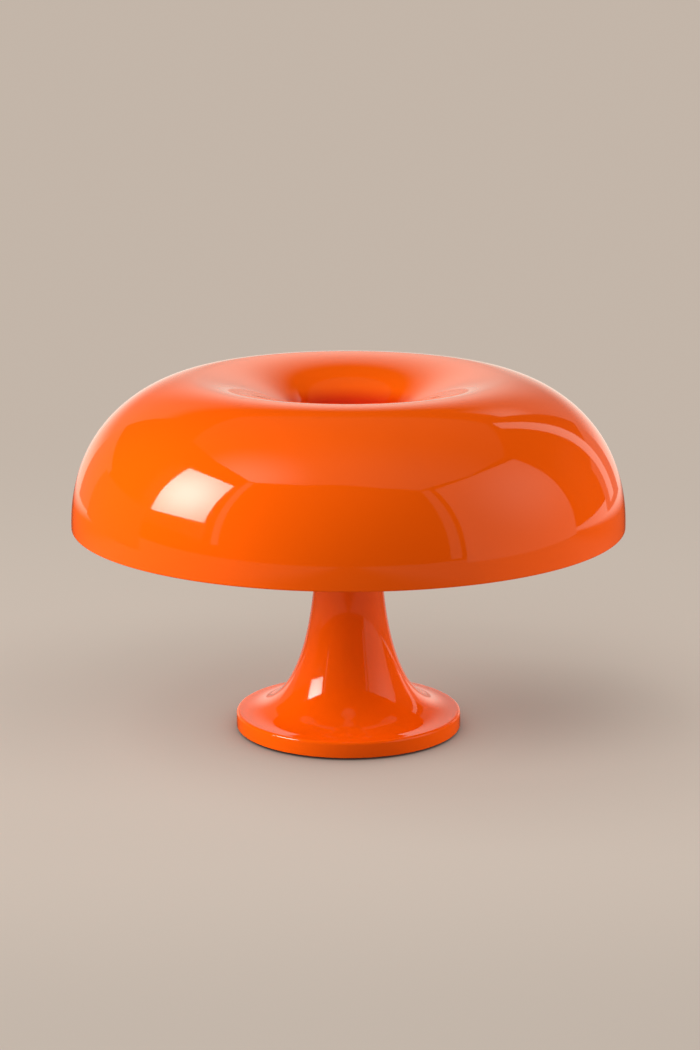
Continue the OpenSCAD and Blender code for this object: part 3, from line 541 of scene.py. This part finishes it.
fill("fill_right", 88, 20, 1.5, LIGHT["fill_right"], color=SOFT_WARM)
fill("fill_left", -50, 12, 1.5, LIGHT["fill_left"], color=SOFT_WARM)
fill("fill_key", -76, 26, 0.9, LIGHT["fill_key"], 1.4)
fill("fill_back_right", 122, 12, 1.5, LIGHT["fill_back_right"])
fill("fill_top", 0, 65, 2.0, LIGHT["fill_top"])

# ---- Floor and background, in metres ----
WALL, PAPER = (0.548, 0.465, 0.395), (0.273, 0.241, 0.209)
FLOOR_R = 8
FLOOR_LAMP_SIZE = 1.6
FLOOR_LAMPS = (("floor_front_left", -25, 50), ("floor_front_right", 40, 55), ("floor_left", -85, 60))
FLAT_SHARE = 0.81                               # the strength of the flat glow
FRONT_SHARE, FRONT_Y = 0.865, (-0.44, -0.22)    # the share of it that is left in front of the lamp
CONTACT_REACH = 0.03                            # how far the shade at the foot's edge reaches
# Shadows painted into the floor's glow beside the foot
PAINTED_SHADOWS = (((0.1, 0.03, 0), 0.13, 0.72), ((-0.13, 0.06, 0), 0.22, 0.84))  # centre, radius, least share
WALL_FROM, WALL_TO = 0.4, 1.0                   # radii between which the floor passes to the wall's colour
# What gloss sees of the floor, by the distance across or by Y: from, to, strength at from, strength at to
SIDE_ACROSS, SIDE_Y = (0.15, 0.6, 0.05, 0.24), (0.1, 0.5, 1.0, 0.35)
BEHIND_Y = (0.6, 1.0, 0.0, 1.0)
CLOSE_ACROSS, CLOSE_Y = (0.15, 0.35, 0.45, 0.0), (0.0, 0.06, 0.0, 1.0)


def floor_material():
    """Paper with a flat glow, which passes to the wall's colour further out. Glossy rays see a glow of
    their own, and the camera sees through the floor from below."""
    material = bpy.data.materials.new("floor")
    tree = cleared_tree(material)
    path = add(tree, "LightPath").outputs
    geometry = add(tree, "NewGeometry").outputs
    place = add(tree, "SeparateXYZ", {0: geometry["Position"]}).outputs
    across = math_node(tree, "ABSOLUTE", place["X"])

    paper = add(tree, "BsdfDiffuse", {"Color": (*PAPER, 1)}).outputs[0]
    # Painted shade in the flat glow: darker at the foot's edge by an ambient-occlusion node, darker in
    # front of the lamp, and two painted shadows beside the foot
    contact = add(tree, "AmbientOcclusion", {"Distance": CONTACT_REACH}, samples=8).outputs["AO"]
    share = ramp(tree, place["Y"], *FRONT_Y, FRONT_SHARE * FLAT_SHARE, FLAT_SHARE)
    for centre, radius, least in PAINTED_SHADOWS:
        painted_shadow = ramp(tree, distance_to(tree, centre, flat=True), 0.0, radius, least, 1.0)
        share = math_node(tree, "MULTIPLY", share, painted_shadow)
    flat = emission(tree, WALL, math_node(tree, "MULTIPLY", contact, share))
    lit = add(tree, "AddShader", {0: paper, 1: flat}).outputs[0]
    away = ramp(tree, distance_to(tree, (0, 0, 0), flat=True), WALL_FROM, WALL_TO)
    plain = mix_shader(tree, away, lit, emission(tree, WALL, 1.0))

    side = math_node(tree, "MULTIPLY", ramp(tree, across, *SIDE_ACROSS), ramp(tree, place["Y"], *SIDE_Y))
    behind = ramp(tree, place["Y"], *BEHIND_Y)
    close = math_node(tree, "MULTIPLY", ramp(tree, across, *CLOSE_ACROSS), ramp(tree, place["Y"], *CLOSE_Y))
    strength = math_node(tree, "MAXIMUM", math_node(tree, "MAXIMUM", side, behind), close)
    upper = mix_shader(tree, path["Is Glossy Ray"], plain, emission(tree, WARM, strength))

    from_below = math_node(tree, "MULTIPLY", geometry["Backfacing"], path["Is Camera Ray"])
    clear = add(tree, "BsdfTransparent").outputs[0]
    add(tree, "OutputMaterial", {"Surface": mix_shader(tree, from_below, upper, clear)})
    return material


def studio_world():
    """The wall's colour for the camera and through glass, and a dim dome for glossy rays. It gives no
    light."""
    world = bpy.data.worlds.new("studio")
    tree = cleared_tree(world)
    path = add(tree, "LightPath").outputs
    seen = math_node(tree, "MAXIMUM", path["Is Camera Ray"], path["Is Transmission Ray"])
    wall = add(tree, "Background", {"Color": (*WALL, 1), "Strength": 1.0}).outputs[0]
    dark = add(tree, "Background", {"Strength": 0.0}).outputs[0]
    dome = add(tree, "Background", {"Strength": LIGHT["dome_seen"]}).outputs[0]
    unseen = mix_shader(tree, path["Is Glossy Ray"], dark, dome)
    add(tree, "OutputWorld", {"Surface": mix_shader(tree, seen, unseen, wall)})
    return world


floor = stage_mesh("floor", [(FLOOR_R * math.cos(math.radians(a)), FLOOR_R * math.sin(math.radians(a)), 0)
                             for a in range(0, 360, 5)])
for light in [o for o in bpy.context.scene.objects if o.type == "LIGHT" or o in panels]:
    link(light, "EXCLUDE", floor)
for name, azimuth, elevation in FLOOR_LAMPS:
    link(fill(name, azimuth, elevation, FLOOR_LAMP_SIZE, LIGHT[name]), "INCLUDE", floor)
floor.data.materials.append(floor_material())
bpy.context.scene.world = studio_world()
bpy.context.scene.view_settings.view_transform = "Standard"

# ---- Materials ----
TONE_SPAN, WEAR_SPAN = (0.3, 0.7), (0.3, 0.75)
# Reach of the occlusion that finds corners for the painted shade, and the occlusion values over which it
# fades in
CORNER_SHADE_REACH, CORNER_SHADE_SPAN = 0.06, (0.45, 1.0)


def surface(name, color, roughness, metallic=0.0, painted_shade_color=None, painted_shade_radii=None, tone=0.04, tone_scale=30.0,
            wear=0.03, wear_scale=120.0, grain=0.0, grain_scale=900.0, lumps=0.0, lumps_scale=60.0,
            stretch=(1, 1, 1), **sockets):
    """A finish with slow changes of tone, uneven gloss, and a bump of fine grain and broad lumps.
    If a shade colour is given, shade is painted in: the colour passes to it in narrow corners, found by an
    ambient-occlusion node, or near the object's axis between the two radii given, in metres.
    Scales are per metre and the bump's heights are in millimetres."""
    material = bpy.data.materials.new(name)
    material.use_nodes = True
    tree = material.node_tree
    bsdf = tree.nodes["Principled BSDF"]
    bsdf.inputs["Metallic"].default_value = metallic
    for socket, value in sockets.items():
        bsdf.inputs[socket.replace("_", " ")].default_value = value
    own_place = add(tree, "TexCoord").outputs["Object"]
    place = scaled(tree, own_place, stretch)

    low = tuple(c * (1 - tone) for c in color)
    high = tuple(min(1, c * (1 + tone)) for c in color)
    cloud = ramp(tree, noise(tree, place, tone_scale, 3.0), *TONE_SPAN)
    shown = mix_color(tree, cloud, (*low, 1), (*high, 1))
    # Painted shade: the colour turns darker and redder near the axis, at the bottom of the lampshade's
    # well, or in narrow corners
    if painted_shade_color:
        if painted_shade_radii:
            radius = add(tree, "VectorMath", {0: scaled(tree, own_place, LEVEL)}, operation="LENGTH")
            share = ramp(tree, radius.outputs["Value"], *painted_shade_radii)
        else:
            opening = add(tree, "AmbientOcclusion", {"Distance": CORNER_SHADE_REACH}, samples=8, only_local=True)
            share = ramp(tree, opening.outputs["AO"], *CORNER_SHADE_SPAN)
        shown = mix_color(tree, share, (*painted_shade_color, 1), shown)
    tree.links.new(shown, bsdf.inputs["Base Color"])

    rub = noise(tree, place, wear_scale, 5.0, Roughness=0.6)
    gloss = ramp(tree, rub, *WEAR_SPAN, max(roughness - wear, 0.0), roughness + wear)
    tree.links.new(gloss, bsdf.inputs["Roughness"])

    normal = None
    for height, scale in ((lumps, lumps_scale), (grain, grain_scale)):
        if height:
            inputs = {"Strength": 1.0, "Distance": height * MM, "Height": noise(tree, place, scale, 4.0)}
            if normal:
                inputs["Normal"] = normal
            normal = add(tree, "Bump", inputs).outputs[0]
    if normal:
        tree.links.new(normal, bsdf.inputs["Normal"])
    return material


ORANGE = {"color": (0.93, 0.108, 0.001), "roughness": 0.045, "tone": 0.012, "tone_scale": 9, "wear": 0.015,
          "wear_scale": 70, "grain": 0.0012, "grain_scale": 420, "IOR": 1.5}
LOOKS = {
    # Both oranges carry painted shade: the stem's in its corners, the lampshade's toward the bottom of its
    # well
    "orange": surface("orange_plastic", painted_shade_color=(0.6, 0.03, 0.0), **ORANGE),
    "orange_shade": surface("orange_plastic_shade", painted_shade_color=(0.62, 0.014, 0.0), painted_shade_radii=(0.0285, 0.043),
                            **ORANGE),
    "black": surface("black_plastic", (0.014, 0.014, 0.015), 0.42, tone=0.15, wear=0.06, grain=0.03,
                     grain_scale=1600, IOR=1.5),
    "rubber": surface("rubber", (0.028, 0.027, 0.026), 0.78, tone=0.25, wear=0.08, grain=0.05,
                      grain_scale=1100),
    "steel": surface("steel", (0.60, 0.61, 0.62), 0.3, 1.0, tone=0.06, wear=0.08, grain=0.01,
                     grain_scale=1400),
    "iron": surface("iron", (0.055, 0.054, 0.056), 0.62, tone=0.3, tone_scale=60, wear=0.1, grain=0.12,
                    grain_scale=900, lumps=0.25, lumps_scale=160, IOR=1.6),
    "brass": surface("brass", (0.78, 0.55, 0.22), 0.26, 1.0, tone=0.08, wear=0.08, grain=0.008,
                     grain_scale=1400),
    "white": surface("white_plastic", (0.80, 0.78, 0.72), 0.32, tone=0.03, wear=0.05, grain=0.015,
                     grain_scale=1200, IOR=1.5),
    "cap": surface("cap_metal", (0.72, 0.71, 0.68), 0.24, 1.0, tone=0.06, wear=0.08, grain=0.006,
                   grain_scale=1500),
    "opal": surface("opal_glass", (0.90, 0.885, 0.85), 0.16, tone=0.012, wear=0.04, IOR=1.5,
                    Subsurface_Weight=0.25, Subsurface_Scale=0.004),
    "vitrite": surface("black_glass", (0.010, 0.008, 0.013), 0.12, tone=0.3, wear=0.05, grain=0.01,
                       grain_scale=700, IOR=1.52),
    "brown": surface("brown_insulation", (0.10, 0.036, 0.012), 0.36, tone=0.1, wear=0.08, grain=0.01,
                     IOR=1.5),
    "blue": surface("blue_insulation", (0.012, 0.07, 0.32), 0.36, tone=0.1, wear=0.08, grain=0.01,
                    IOR=1.5),
}
# The look of each node, or of the nodes and pieces whose names start so
KINDS = {"shade": "orange_shade", "stem": "orange", "shade_knob": "orange",
         "base_cover": "black",
         "cord_bush": "rubber", "foot_pad": "rubber", "shade_seat": "rubber",
         "shade_washer": "steel", "ballast": "iron",
         "terminal_block": "white", "hub_body": "white", "holder": "white",
         "terminal_inserts": "brass", "knob_insert": "brass", "shell": "brass", "contact": "brass",
         "bulb_cap": "cap", "bulb_glass": "opal", "bulb_insulator": "vitrite",
         "lead_brown": "brown", "lead_blue": "blue"}


def kind_of(name):
    """The look under the longest name that fits; other parts are steel."""
    fitting = [key for key in KINDS if name == key or name.startswith(key + "_")]
    return KINDS[max(fitting, key=len)] if fitting else "steel"


for name, obj in [(piece.name, piece) for piece, *_ in pieces] + list(nodes.items()):
    obj.data.materials.clear()
    obj.data.materials.append(LOOKS[kind_of(name)])

# ---- Camera, fitted to the photo's outlines ----
LENS, CAMERA_AT, LOOKS_DOWN = 87.46, (0.0009, -1.4413, 0.4635), 13.344
camera = bpy.data.objects.new("camera", bpy.data.cameras.new("camera"))
bpy.context.scene.collection.objects.link(camera)
camera.data.lens = LENS
camera.location = CAMERA_AT
camera.rotation_euler = (math.radians(90 - LOOKS_DOWN), 0, 0)
camera.data.clip_start, camera.data.clip_end = 0.05, 60
bpy.context.scene.camera = camera
